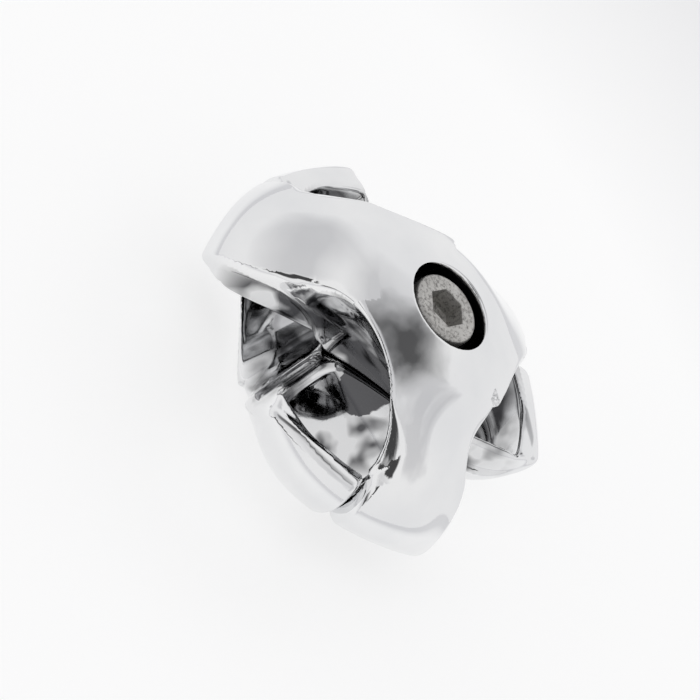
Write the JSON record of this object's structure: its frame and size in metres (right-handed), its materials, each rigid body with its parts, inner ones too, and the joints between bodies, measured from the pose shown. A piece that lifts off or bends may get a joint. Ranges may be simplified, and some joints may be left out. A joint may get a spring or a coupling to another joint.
{
  "type": "three-way cross clamp",
  "caption": "Ball-shaped chrome clamp: two interlocking three-armed shells drawn together by a cap screw, with skewed passages for rods or rope.",
  "frame": {"origin": "centre of the clamp, on the screw axis midway between the two shells' poles", "axes": "+Z along the screw towards its head, +X along a line about which one shell turned over becomes the other"},
  "size_m": [0.0518, 0.0548, 0.0292],
  "materials": {
    "chrome": "polished",
    "screw_plate": "matte"
  },
  "bodies": {
    "rear_shell": {"rear_shell": "chrome"},
    "front_shell": {"front_shell": "chrome"},
    "cap_screw": {"cap_screw": "screw_plate"}
  },
  "joints": [
    {"name": "front_slide", "type": "slide", "parent": "rear_shell", "child": "front_shell", "axis": [0, 0, 1], "range_m": [0, 0.006]},
    {"name": "screw_turn", "type": "hinge", "parent": "front_shell", "child": "cap_screw", "pos_m": [0, 0, 0], "axis": [0, 0, 1], "range_deg": [0, 2161]}
  ],
  "couplings": [
    {"joint": "screw_turn", "follows": "front_slide", "rad_per_m": 6283.2}
  ]
}
